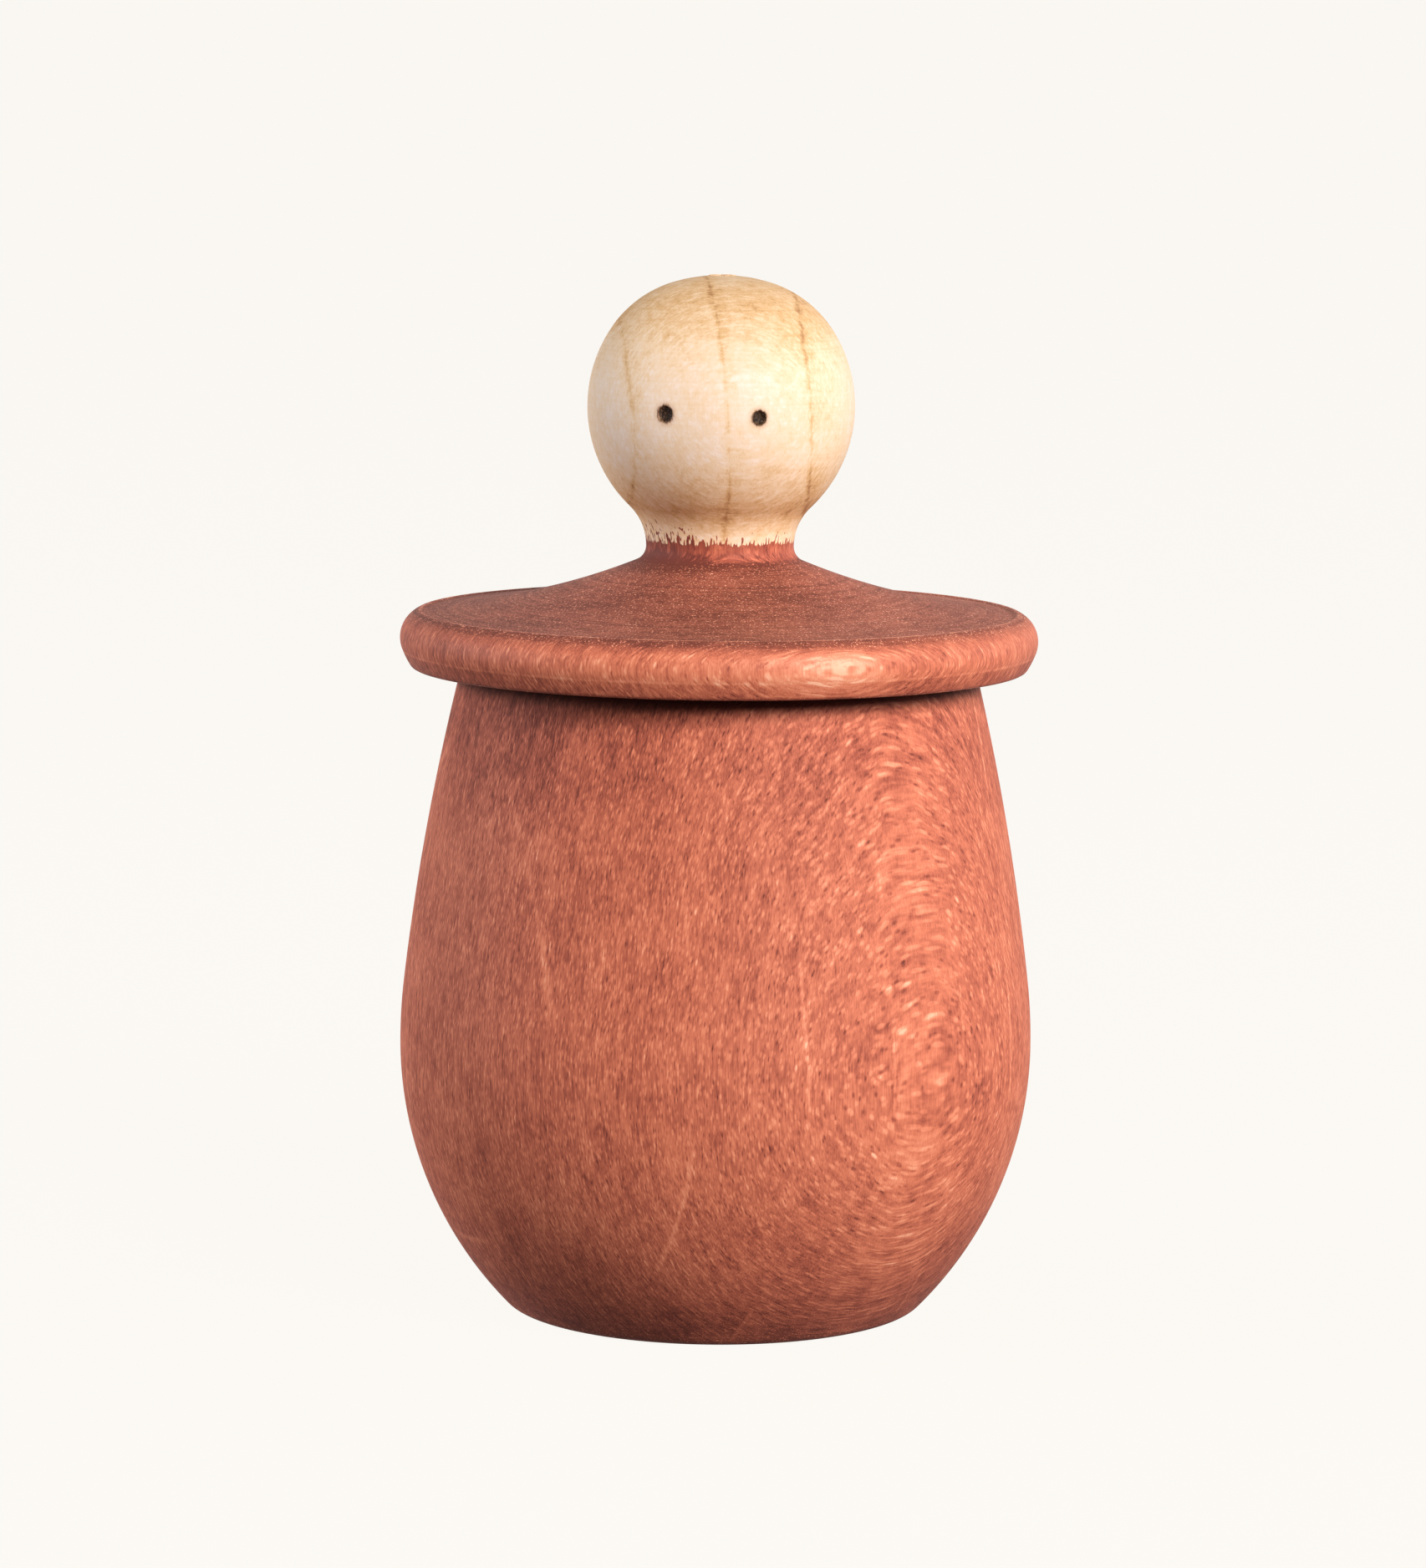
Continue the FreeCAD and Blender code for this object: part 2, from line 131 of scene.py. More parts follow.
class Turning:
    """A half section drawn from the axis outwards and back, then turned once round the axis."""

    def __init__(self, name, x, z):
        clear_selection()
        bpy.ops.mesh.primitive_plane_add(size=MM)
        self.piece = bpy.context.object
        self.piece.name = name
        self.piece.data.name = name
        bpy.ops.object.mode_set(mode="EDIT")
        bpy.ops.mesh.select_mode(type="VERT")
        bpy.ops.mesh.select_all(action="SELECT")
        bpy.ops.mesh.merge(type="CENTER")
        bpy.ops.transform.translate(value=(x * MM, 0, z * MM))
        self.at = Vector((x, z))

    def line(self, x, z, parts=1):
        """Straight cut to a place, in a few equal parts."""
        goal = Vector((x, z))
        part = (goal - self.at) * (MM / parts)
        for _ in range(parts):
            bpy.ops.mesh.extrude_vertices_move(
                TRANSFORM_OT_translate={"value": (part.x, 0, part.y)}
            )
        self.at = goal

    def arc(self, centre, goal, hollow=False):
        """Round cut about a centre; a hollow one runs clockwise."""
        centre = Vector(centre)
        goal = Vector(goal)
        a = math.atan2(self.at.y - centre.y, self.at.x - centre.x)
        b = math.atan2(goal.y - centre.y, goal.x - centre.x)
        sweep = (b - a) % (2 * math.pi)
        if hollow:
            sweep = -((a - b) % (2 * math.pi))
        radius = (self.at - centre).length
        steps = max(
            4,
            math.ceil(abs(sweep) * radius / ARC_STEP),
            math.ceil(abs(sweep) / ARC_TURN),
        )
        bpy.ops.mesh.spin(
            steps=steps,
            angle=sweep,
            center=(centre.x * MM, 0, centre.y * MM),
            axis=(0, 1, 0),
        )
        self.at = goal

    def turn(self):
        """Sweep the section round the axis and close its seam and its poles."""
        bpy.ops.mesh.select_all(action="SELECT")
        bpy.ops.mesh.spin(
            steps=ROUND_STEPS, angle=2 * math.pi, center=(0, 0, 0), axis=(0, 0, 1)
        )
        bpy.ops.mesh.select_all(action="SELECT")
        bpy.ops.mesh.remove_doubles(threshold=SAME_POINT * MM)
        bpy.ops.mesh.normals_make_consistent(inside=False)
        bpy.ops.object.mode_set(mode="OBJECT")
        return self.piece


def ring_edges(piece, places):
    """Select the edge loops that run round the axis at these (radius, height) places."""
    bpy.ops.object.mode_set(mode="EDIT")
    bpy.ops.mesh.select_mode(type="EDGE")
    bpy.ops.mesh.select_all(action="DESELECT")
    bpy.ops.object.mode_set(mode="OBJECT")
    near = set()
    for index, vertex in enumerate(piece.data.vertices):
        out = math.hypot(vertex.co.x, vertex.co.y) / MM
        up = vertex.co.z / MM
        for radius, height in places:
            if abs(out - radius) < SAME_RING and abs(up - height) < SAME_RING:
                near.add(index)
    for edge in piece.data.edges:
        if edge.vertices[0] in near and edge.vertices[1] in near:
            edge.select = True
    bpy.ops.object.mode_set(mode="EDIT")


def soften(piece, places, width):
    """Take the sharpness off a few rings, as the last pass of sandpaper does."""
    ring_edges(piece, places)
    bpy.ops.mesh.bevel(offset=width * MM, segments=3, profile=0.5, affect="EDGES")
    bpy.ops.object.mode_set(mode="OBJECT")


def turn_pot():
    """Pot: foot, belly in three curves, rounded rim and hollow inside."""
    lower = Vector((BELLY_RADIUS - LOWER_CURVE, BELLY_HEIGHT))
    belly = Vector((BELLY_RADIUS - BELLY_CURVE, BELLY_HEIGHT))
    reach = LOWER_CURVE - FOOT_ROUND
    foot_x = lower.x + math.sqrt(reach ** 2 - (BELLY_HEIGHT - FOOT_ROUND) ** 2)
    foot = Vector((foot_x, FOOT_ROUND))
    wall = foot + (foot - lower).normalized() * FOOT_ROUND
    corner = Vector((RIM_RADIUS, POT_HEIGHT))
    upper = crossing(belly, UPPER_CURVE - BELLY_CURVE, corner, UPPER_CURVE, 1)
    join = belly + (belly - upper).normalized() * BELLY_CURVE
    rise = POT_HEIGHT - RIM_OUTER_ROUND - upper.y
    rim_out = math.sqrt((UPPER_CURVE - RIM_OUTER_ROUND) ** 2 - rise ** 2)
    rim = Vector((upper.x + rim_out, upper.y + rise))
    mouth = Vector((CAVITY_RADIUS + RIM_INNER_ROUND, POT_HEIGHT - RIM_INNER_ROUND))
    bend = Vector((CAVITY_RADIUS - CAVITY_CORNER, FLOOR_THICKNESS + CAVITY_CORNER))

    cut = Turning("turned_pot", 0, 0)
    cut.line(foot_x, 0, 12)
    cut.arc(foot, wall)
    cut.arc(lower, (BELLY_RADIUS, BELLY_HEIGHT))
    cut.arc(belly, join)
    cut.arc(upper, rim + (rim - upper).normalized() * RIM_OUTER_ROUND)
    cut.arc(rim, (rim.x, POT_HEIGHT))
    cut.line(mouth.x, POT_HEIGHT, 4)
    cut.arc(mouth, (CAVITY_RADIUS, mouth.y))
    cut.line(CAVITY_RADIUS, bend.y, 60)
    cut.arc(bend, (bend.x, FLOOR_THICKNESS), hollow=True)
    cut.line(0, FLOOR_THICKNESS, 10)
    return cut.turn()


def head_middle():
    """Height of the widest place of the head."""
    reach = HEAD_CURVE + COVE_CURVE
    out = NECK_RADIUS + COVE_CURVE - (HEAD_RADIUS - HEAD_CURVE)
    return NECK_HEIGHT + math.sqrt(reach ** 2 - out ** 2)


def turn_lid():
    """Lid: spigot, plate with a rounded edge, dished shoulder, neck and ball head."""
    low = POT_HEIGHT - SPIGOT_LENGTH
    edge = Vector((LID_RADIUS - EDGE_ROUND, EDGE_HEIGHT))
    band_start = Vector((BAND_RADIUS, POT_HEIGHT))
    band_out = math.sqrt(EDGE_ROUND ** 2 - (BAND_TOP - edge.y) ** 2)
    band_end = Vector((edge.x + band_out, BAND_TOP))
    band = crossing(band_start, BAND_CURVE, band_end, BAND_CURVE, 1)
    crease_up = math.sqrt(EDGE_ROUND ** 2 - (CREASE_RADIUS - edge.x) ** 2)
    crease = Vector((CREASE_RADIUS, edge.y + crease_up))
    dish = Vector((DISH_RADIUS, DISH_HEIGHT))

    neck = Vector((NECK_RADIUS, NECK_HEIGHT))
    fillet = Vector((NECK_RADIUS + NECK_FILLET, NECK_HEIGHT))
    shoulder = crossing(fillet, SHOULDER_CURVE - NECK_FILLET, dish, SHOULDER_CURVE, 1)
    root = fillet + (fillet - shoulder).normalized() * NECK_FILLET
    cove = Vector((NECK_RADIUS + COVE_CURVE, NECK_HEIGHT))
    head = Vector((HEAD_RADIUS - HEAD_CURVE, head_middle()))
    chin = head + (cove - head).normalized() * HEAD_CURVE
    crown = Vector((0, head.y + CROWN_LIFT - CROWN_CURVE))
    temple = crossing(crown, CROWN_CURVE - TEMPLE_CURVE, head, HEAD_CURVE - TEMPLE_CURVE, -1)
    brow = head + (temple - head).normalized() * HEAD_CURVE
    top = crown + (temple - crown).normalized() * CROWN_CURVE

    cut = Turning("turned_lid", 0, low)
    cut.line(SPIGOT_RADIUS - SPIGOT_BEVEL, low, 12)
    cut.line(SPIGOT_RADIUS, low + SPIGOT_BEVEL)
    cut.line(SPIGOT_RADIUS, POT_HEIGHT, 5)
    cut.line(BAND_RADIUS, POT_HEIGHT, 9)
    cut.arc(band, band_end)
    cut.arc(edge, crease)
    cut.line(dish.x, dish.y)
    cut.arc(shoulder, root, hollow=True)
    cut.arc(fillet, neck, hollow=True)
    cut.arc(cove, chin, hollow=True)
    cut.arc(head, brow)
    cut.arc(temple, top)
    cut.arc(crown, (0, crown.y + CROWN_CURVE))
    piece = cut.turn()
    soften(piece, [band_start, band_end], SANDED_BAND)
    soften(piece, [crease, dish], SANDED_CREASE)
    spigot_side = (SPIGOT_RADIUS, low + SPIGOT_BEVEL)
    spigot_end = (SPIGOT_RADIUS - SPIGOT_BEVEL, low)
    soften(piece, [spigot_side, spigot_end], SANDED_SPIGOT)
    return piece


def eye_place(side, drop):
    """Middle of an eye on the skin of the head, in millimetres."""
    turned = math.radians(side * EYE_ANGLE)
    return Vector(
        (HEAD_RADIUS * math.sin(turned), -HEAD_RADIUS * math.cos(turned), head_middle() - drop)
    )


def burn_eyes(piece):
    """Sink two uneven pits, as the tip of a hot tool leaves them."""
    for side, drop, width, height in EYES:
        clear_selection()
        bpy.ops.mesh.primitive_ico_sphere_add(subdivisions=5, radius=MM)
        tip = bpy.context.object
        bpy.ops.object.mode_set(mode="EDIT")
        bpy.ops.mesh.select_all(action="SELECT")
        bpy.ops.transform.resize(value=(width / 2, EYE_DEPTH, height / 2))
        bpy.ops.object.mode_set(mode="OBJECT")
        tip.rotation_euler.z = math.radians(side * EYE_ANGLE)
        tip.location = eye_place(side, drop) * MM
        bpy.ops.object.transform_apply(location=True, rotation=True, scale=False)
        rough = bpy.data.textures.new("charred", "CLOUDS")
        rough.noise_scale = 0.35 * MM
        rough.noise_depth = 3
        ragged = tip.modifiers.new("ragged", "DISPLACE")
        ragged.texture = rough
        ragged.texture_coords = "LOCAL"
        ragged.strength = EYE_RAGGED * MM
        bpy.ops.object.modifier_apply(modifier=ragged.name)
        bpy.data.textures.remove(rough)

        clear_selection()
        bpy.context.view_layer.objects.active = piece
        piece.select_set(True)
        pit = piece.modifiers.new("pit", "BOOLEAN")
        pit.operation = "DIFFERENCE"
        pit.solver = "EXACT"
        pit.object = tip
        bpy.ops.object.modifier_apply(modifier=pit.name)
        bpy.data.objects.remove(tip)


def leave_stub(piece):
    """Roughen the spot on the crown where the piece was cut off the lathe."""
    clear_selection()
    bpy.context.view_layer.objects.active = piece
    piece.select_set(True)
    crown = max(vertex.co.z for vertex in piece.data.vertices)
    bpy.ops.object.mode_set(mode="EDIT")
    bpy.ops.mesh.select_mode(type="FACE")
    bpy.ops.mesh.select_all(action="DESELECT")
    bpy.ops.object.mode_set(mode="OBJECT")
    for face in piece.data.polygons:
        middle = face.center
        near_top = middle.z > crown - 0.3 * MM
        if near_top and math.hypot(middle.x, middle.y) < STUB_RADIUS * MM:
            face.select = True
    bpy.ops.object.mode_set(mode="EDIT")
    bpy.ops.mesh.inset(thickness=STUB_INSET * MM, depth=STUB_SUNK * MM)
    bpy.ops.transform.vertex_random(
        offset=STUB_ROUGHNESS * MM, uniform=0.4, normal=0.6, seed=5
    )
    bpy.ops.object.mode_set(mode="OBJECT")


def finish_shading(piece):
    clear_selection()
    bpy.context.view_layer.objects.active = piece
    piece.select_set(True)
    bpy.ops.object.shade_smooth_by_angle(angle=math.radians(SMOOTH_ANGLE))


# ---- finishes ----
class Number:
    """A socket holding one number, which Python's own signs work on."""

    def __init__(self, finish, socket):
        self.finish = finish
        self.socket = socket

    def join(self, operation, *terms):
        return self.finish.maths(operation, *terms)

    def __add__(self, other):
        return self.join("ADD", self, other)

    def __radd__(self, other):
        return self.join("ADD", other, self)

    def __sub__(self, other):
        return self.join("SUBTRACT", self, other)

    def __rsub__(self, other):
        return self.join("SUBTRACT", other, self)

    def __mul__(self, other):
        return self.join("MULTIPLY", self, other)

    def __rmul__(self, other):
        return self.join("MULTIPLY", other, self)

    def __truediv__(self, other):
        return self.join("DIVIDE", self, other)

    def __pow__(self, other):
        return self.join("POWER", self, other)

    def __abs__(self):
        return self.join("ABSOLUTE", self)


class Finish:
    """A material and the nodes that make it."""

    def __init__(self, name):
        self.material = bpy.data.materials.new(name)
        self.material.use_nodes = True
        self.tree = self.material.node_tree
        self.tree.nodes.clear()

    def node(self, kind, settings=None, inputs=None):
        """New node with its settings and the values or links of its sockets."""
        node = self.tree.nodes.new(kind)
        for key, value in (settings or {}).items():
            if key == "stops":
                stops = node.color_ramp.elements
                while len(stops) < len(value):
                    stops.new(0.5)
                for stop, (place, colour) in zip(stops, value):
                    stop.position = place
                    stop.color = (*colour, 1)
            else:
                setattr(node, key, value)
        for key, value in (inputs or {}).items():
            socket = node.inputs[key]
            if isinstance(value, Number):
                self.tree.links.new(value.socket, socket)
            elif isinstance(value, bpy.types.NodeSocket):
                self.tree.links.new(value, socket)
            else:
                socket.default_value = value
        return node

    def maths(self, operation, *terms):
        node = self.node("ShaderNodeMath", {"operation": operation}, dict(enumerate(terms)))
        return Number(self, node.outputs[0])

    def ramp(self, value, low, high):
        """0 below low, 1 above high, smooth between."""
        node = self.node(
            "ShaderNodeMapRange",
            {"interpolation_type": "SMOOTHSTEP"},
            {"Value": value, "From Min": low, "From Max": high},
        )
        return Number(self, node.outputs["Result"])

    def place(self, x, y, z):
        node = self.node("ShaderNodeCombineXYZ", None, {"X": x, "Y": y, "Z": z})
        return node.outputs[0]

    def noise(self, place, detail=2.0, roughness=0.5):
        node = self.node(
            "ShaderNodeTexNoise",
            None,
            {"Vector": place, "Scale": 1.0, "Detail": detail, "Roughness": roughness},
        )
        return Number(self, node.outputs["Fac"])

    def cells(self, place):
        """Distance to the nearest of many scattered points, one to a unit cell."""
        node = self.node(
            "ShaderNodeTexVoronoi", {"feature": "F1"}, {"Vector": place, "Scale": 1.0}
        )
        return Number(self, node.outputs["Distance"])

    def blend(self, share, first, second):
        """Colour between two others; share 1 is all of the second."""
        node = self.node(
            "ShaderNodeMix",
            {"data_type": "RGBA"},
            {"Factor": share, 6: first, 7: second},
        )
        return node.outputs[2]

    def tint(self, value, stops):
        """Colour for a number, from the stops of a ramp."""
        node = self.node("ShaderNodeValToRGB", {"stops": stops}, {"Fac": value})
        return node.outputs["Color"]


class Grain:
    """Coordinates inside the tree: out from its heart, round it, and up its trunk."""

    def __init__(self, finish, heart, lean, seed):
        heart = Vector(heart)
        away = heart.length
        back = -heart / away
        spot = finish.node("ShaderNodeTexCoord")
        split = finish.node("ShaderNodeSeparateXYZ", None, {0: spot.outputs["Object"]})
        facing = finish.node("ShaderNodeSeparateXYZ", None, {0: spot.outputs["Normal"]})
        self.finish = finish
        self.x, self.y, self.z = (Number(finish, split.outputs[i]) * (1 / MM) for i in range(3))
        self.level = abs(Number(finish, facing.outputs[2]))
        self.radius = (self.x * self.x + self.y * self.y) ** 0.5
        dx = self.x - heart.x
        dy = self.y - heart.y
        along = dx * back.x + dy * back.y
        across = dy * back.x - dx * back.y
        reach = (dx * dx + dy * dy) ** 0.5
        # where the turned skin lies along the rays, which then show broadside
        slant = abs(self.x * dx + self.y * dy) / (reach * self.radius)
        self.face = 1 - finish.ramp(slant, 0.05, 0.30)
        # grain is never quite straight: a slow sway and a short wave
        sway = finish.noise(
            finish.place(self.x * 0.07 + seed, self.y * 0.07, self.z * 0.035), 2.0
        )
        wave = finish.noise(
            finish.place(self.x * 0.4 + seed, self.y * 0.4, self.z * 0.16), 1.0
        )
        sway = (sway - 0.5) * 1.2
        turned = finish.maths("ARCTAN2", across, along) * away
        self.round = turned + sway + (wave - 0.5) * 0.22
        self.out = reach + (self.z - LEAN_HEIGHT) * lean + sway

    def rays(self, thick, tall, deep, seed, low, high):
        """Thin upright lenses that run out from the heart: 1 inside, 0 between them."""
        place = self.finish.place(
            self.round * (1 / thick) + seed, self.z * (1 / tall), self.out * (1 / deep)
        )
        return 1 - self.finish.ramp(self.finish.cells(place), low, high)

    def fibres(self, across, tall, deep, seed, detail=2.0):
        """Streaks along the trunk; deep ones also run out from the heart, as rays do."""
        place = self.finish.place(
            self.round * (1 / across) + seed, self.z * (1 / tall), self.out * (1 / deep)
        )
        return self.finish.noise(place, detail, 0.6)

    def patches(self, size, seed, detail=3.0, tall=1.0):
        """Cloudy patches, drawn out along the trunk where tall is above 1."""
        place = self.finish.place(
            self.x * (1 / size) + seed, self.y * (1 / size), self.z * (1 / size / tall)
        )
        return self.finish.noise(place, detail, 0.55)

    def tool_marks(self, pitch, seed):
        """Faint rings left by the gouge."""
        place = self.finish.place(
            self.radius * (1 / pitch) + seed, self.z * (1 / pitch), self.y * 0.05
        )
        return self.finish.noise(place, 1.0, 0.5)

    def year_lines(self, first, spacing, width):
        """Thin lines where one year's growth ends, and the darker wood that leads up to them."""
        jitter = self.fibres(0.6, 0.9, 0.6, first)
        turns = (self.out - first + (jitter - 0.5) * 0.45) * (1 / spacing)
        away = abs(turns - self.finish.maths("ROUND", turns))
        late = self.finish.ramp(self.finish.maths("FRACT", turns), 0.80, 1.0)
        return 1 - self.finish.ramp(away, width * 0.1 / spacing, width / spacing), late

    def edge_wear_and_highlight_ring(self, radius, height, width):
        """Thin ring round the axis where an edge is lighter: stain rubbed off the edge, and a
        painted highlight along it.
        """
        away = ((self.radius - radius) ** 2 + (self.z - height) ** 2) ** 0.5
        return 1 - self.finish.ramp(away, width * 0.2, width)


RELIEF_HEIGHT = 0.04

# darkest to lightest: stain on side grain, stain on end grain, bare wood
STAIN = (
    (0.0, (0.150, 0.030, 0.020)),
    (0.25, (0.400, 0.092, 0.053)),
    (0.5, (0.640, 0.176, 0.095)),
    (0.75, (0.800, 0.275, 0.155)),
    (1.0, (0.940, 0.480, 0.315)),
)
SOAKED = (
    (0.0, (0.140, 0.040, 0.026)),
    (0.25, (0.300, 0.094, 0.060)),
    (0.5, (0.500, 0.180, 0.118)),
    (0.75, (0.730, 0.360, 0.240)),
    (1.0, (0.920, 0.620, 0.450)),
)
BARE = (
    (0.0, (0.420, 0.200, 0.080)),
    (0.3, (0.720, 0.440, 0.215)),
    (0.6, (0.850, 0.615, 0.405)),
    (1.0, (0.905, 0.735, 0.625)),
)


def stained_grain(finish, grain, years, flecks):
    """Lightness of the stained wood, its relief, and where end grain shows.

    Stain is dark where it soaked in and light on the rays.  End grain shows none of the streaks
    that run along the trunk, but it has pores and the marks of the gouge.
    """
    cluster = finish.ramp(grain.patches(2.6, 37.0, 2.0, 1.5), 0.36, 0.64)
    broad = grain.rays(0.25, 1.7, 6.5, 3.1, 0.15, 0.32) * (cluster * 0.8 + 0.3)
    small = grain.rays(0.18, 0.95, 3.5, 7.7, 0.18, 0.40)
    deep = grain.rays(0.17, 1.15, 1.6, 13.3, 0.10, 0.32)
    ray = grain.fibres(0.15, 1.3, 3.5, 47.0)
    fibre = grain.fibres(0.085, 2.2, 0.14, 5.3)
    strand = grain.fibres(0.33, 6.5, 5.0, 43.0, 1.0)
    soak = grain.patches(7.0, 11.0)
    cloud = grain.patches(1.2, 19.0, 3.0, 1.8)
    marks = grain.tool_marks(0.30, 2.0)
    pore = finish.ramp(grain.patches(0.17, 29.0, 1.0), 0.56, 0.74)
    ends = finish.ramp(grain.level, 0.45, 0.92)
    lines = years * finish.ramp(grain.patches(9.0, 31.0, 2.0, 2.5), 0.46, 0.6)
    side = 1 - ends
    broadside = grain.face * side
    value = (
        0.45
        + (broad - 0.11) * (side * flecks + broadside * 0.10 + 0.08)
        + (small - 0.18) * (side * 0.12 + 0.10)
        - (deep - 0.07) * (cloud * side * 0.34 + 0.04)
        + (ray - 0.5) * (side * 0.37 + broadside * 0.30 + 0.12)
        + (fibre - 0.5) * (side * 0.40 - broadside * 0.22 + 0.26)
        + (strand - 0.5) * (side * 0.32)
        + (broadside - side * 0.2) * 0.08
        + (soak - 0.5) * 0.34
        + (cloud - 0.5) * 0.36
        + (marks - 0.5) * (ends * 0.34 + 0.04)
        + (pore - 0.15) * (ends * 0.80)
        + lines * (side * 0.22)
        - ends * 0.20
    )
    relief = broad * 0.3 + ray * 0.4 + fibre * 0.9 - deep * 0.4 + pore * (ends * 0.5)
    return value, relief, ends


def wood_shader(finish, colour, roughness, relief):
    """Close the material: matt sanded wood with a very low relief."""
    bump = finish.node(
        "ShaderNodeBump",
        None,
        {"Strength": 0.35, "Distance": RELIEF_HEIGHT * MM, "Height": relief},
    )
    shader = finish.node(
        "ShaderNodeBsdfPrincipled",
        None,
        {
            "Base Color": colour,
            "Roughness": roughness,
            "Specular IOR Level": 0.25,
            "Normal": bump.outputs[0],
        },
    )
    finish.node("ShaderNodeOutputMaterial", None, {"Surface": shader.outputs[0]})
    return finish.material


# where the heart of the tree lies from the turning axis, and how much its trunk leans
POT_HEART = (95.3, 53.0)
LID_HEART = (102.2, 15.2)
LID_LEAN = -0.06
LEAN_HEIGHT = POT_HEIGHT + 24.1
# first year line out from the heart, spacing and width
POT_YEARS = (109.0, 8.33, 0.28)
LID_YEARS = (96.4, 8.05, 0.40)

STAIN_CLIMB = 0.49
# painted shade laid into the corner under the lid
CREVICE_SHADE_COLOUR = (0.030, 0.006, 0.005, 1)
WICKED_STAIN = (0.24, 0.050, 0.032, 1)
TOASTED = (0.52, 0.24, 0.09, 1)
SCORCHED = (0.120, 0.044, 0.017, 1)
CHARRED = (
    (0.0, (0.006, 0.003, 0.002)),
    (0.5, (0.018, 0.008, 0.004)),
    (0.62, (0.085, 0.036, 0.016)),
    (0.75, (0.26, 0.15, 0.08)),
)


def stained_pot():
    finish = Finish("stained_pot_wood")
    grain = Grain(finish, POT_HEART, 0.0, 0.0)
    years, _ = grain.year_lines(*POT_YEARS)
    value, relief, _ = stained_grain(finish, grain, years, 0.15)
    # painted shadow of the lid over the top of the pot and painted shade on its left side, away
    # from the main light; also darker towards the foot
    left = finish.ramp(grain.x, 8.0, -14.0)
    upper = finish.ramp(grain.z, POT_HEIGHT - 15.9, POT_HEIGHT - 1.9)
    foot = 1 - finish.ramp(grain.z, 2.0, 15.0)
    value = value - upper * (left * 0.10 + 0.09) - foot * 0.14 - left * 0.05
    # painted shade: the corner under the lid darkened almost to black
    outside = finish.ramp(grain.radius, RIM_RADIUS - 2.4, RIM_RADIUS - 1.6)
    wander = (grain.patches(1.4, 23.0, 2.0) - 0.5) * 0.7
    crevice_shade = finish.ramp(grain.z + wander, POT_HEIGHT - 2.1, POT_HEIGHT - 0.6) * outside
    colour = finish.blend(crevice_shade * 0.85, finish.tint(value, STAIN), CREVICE_SHADE_COLOUR)
    roughness = 0.66 - (value - 0.5) * 0.25
    return wood_shader(finish, colour, roughness, relief)


def stained_lid(finish, grain, years, left):
    """The lid up to the root of its neck: plate, rounded edge, shoulder and collar."""
    value, relief, ends = stained_grain(finish, grain, years * 0.4, 0.20)
    ring_patches = finish.ramp(grain.patches(1.6, 83.0, 2.0), 0.38, 0.62)
    # edges lighter: partly stain rubbed off, partly a painted highlight along the creases
    edge_wear_and_highlight = (
        grain.edge_wear_and_highlight_ring(CREASE_RADIUS, POT_HEIGHT + 5.23, 0.26) * 1.6
        + grain.edge_wear_and_highlight_ring(LID_RADIUS - 0.25, BAND_TOP + 0.08, 0.24) * 0.5
        + grain.edge_wear_and_highlight_ring(BAND_RADIUS, POT_HEIGHT, 0.22)
    )
    outer = 1 - finish.ramp(grain.level, 0.3, 0.8)
    # painted shade on the underside of the band, below its crease
    underside_shade = 1 - finish.ramp(grain.z, BAND_TOP - 0.06, BAND_TOP + 0.06)
    edge = outer * (1 - finish.ramp(grain.z, DISH_HEIGHT, DISH_HEIGHT + 2.0))
    # painted shade in the fillet at the root of the neck, and on the collar, heavier on the left
    collar = finish.ramp(grain.z, NECK_HEIGHT - 2.2, NECK_HEIGHT - 1.2)
    fillet_shade = finish.ramp(grain.z, NECK_HEIGHT - 1.7, NECK_HEIGHT - 1.1)
    fillet_shade = fillet_shade * (1 - finish.ramp(grain.z, NECK_HEIGHT - 0.7, NECK_HEIGHT + 0.1))
    value = (
        value
        + edge_wear_and_highlight * (ring_patches * 0.20 + 0.06)
        # painted sheen on the side of the rim, which faces the main light
        + edge * 0.15
        - underside_shade * 0.12
        - fillet_shade * 0.15
        # painted shade: the top of the plate darker to the left, where the head's shadow falls,
        # and lighter to the right
        + grain.x * (ends * 0.0030)
        + grain.face * (edge * 0.20)
        # painted shade: the rim darker towards both sides, and more on the left, away from the
        # main light
        - abs(grain.x) * (edge * 0.0050)
        - finish.ramp(grain.x, -4.0, -20.0) * (edge * 0.11)
        # painted shade on the collar, heavier on the left
        - collar * (left * 0.30 + 0.05)
    )
    colour = finish.blend(ends * 0.50, finish.tint(value, STAIN), finish.tint(value, SOAKED))
    return value, relief, colour


